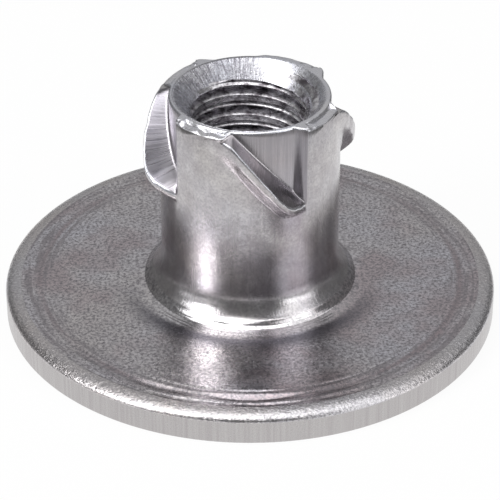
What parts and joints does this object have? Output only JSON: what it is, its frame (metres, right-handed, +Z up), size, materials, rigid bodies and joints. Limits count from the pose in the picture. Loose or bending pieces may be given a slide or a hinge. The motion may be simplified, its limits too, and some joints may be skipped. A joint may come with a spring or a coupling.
{
  "type": "tee nut",
  "caption": "Flanged tee nut: a round flat flange with a threaded barrel and slanted gripping fins pressed out of the barrel's free end.",
  "frame": {"origin": "centre of the flange's flat underside, on the bore's axis", "axes": "+Z up the bore's axis towards the barrel's rim; -Y towards the viewer of the reference view, +X to its right"},
  "size_m": [0.022, 0.022, 0.0105],
  "materials": {
    "steel": "satin, lightly brushed along the barrel and mottled on the flange, with sheared fins"
  },
  "bodies": {
    "root": {"tee_nut": "steel"}
  },
  "joints": []
}
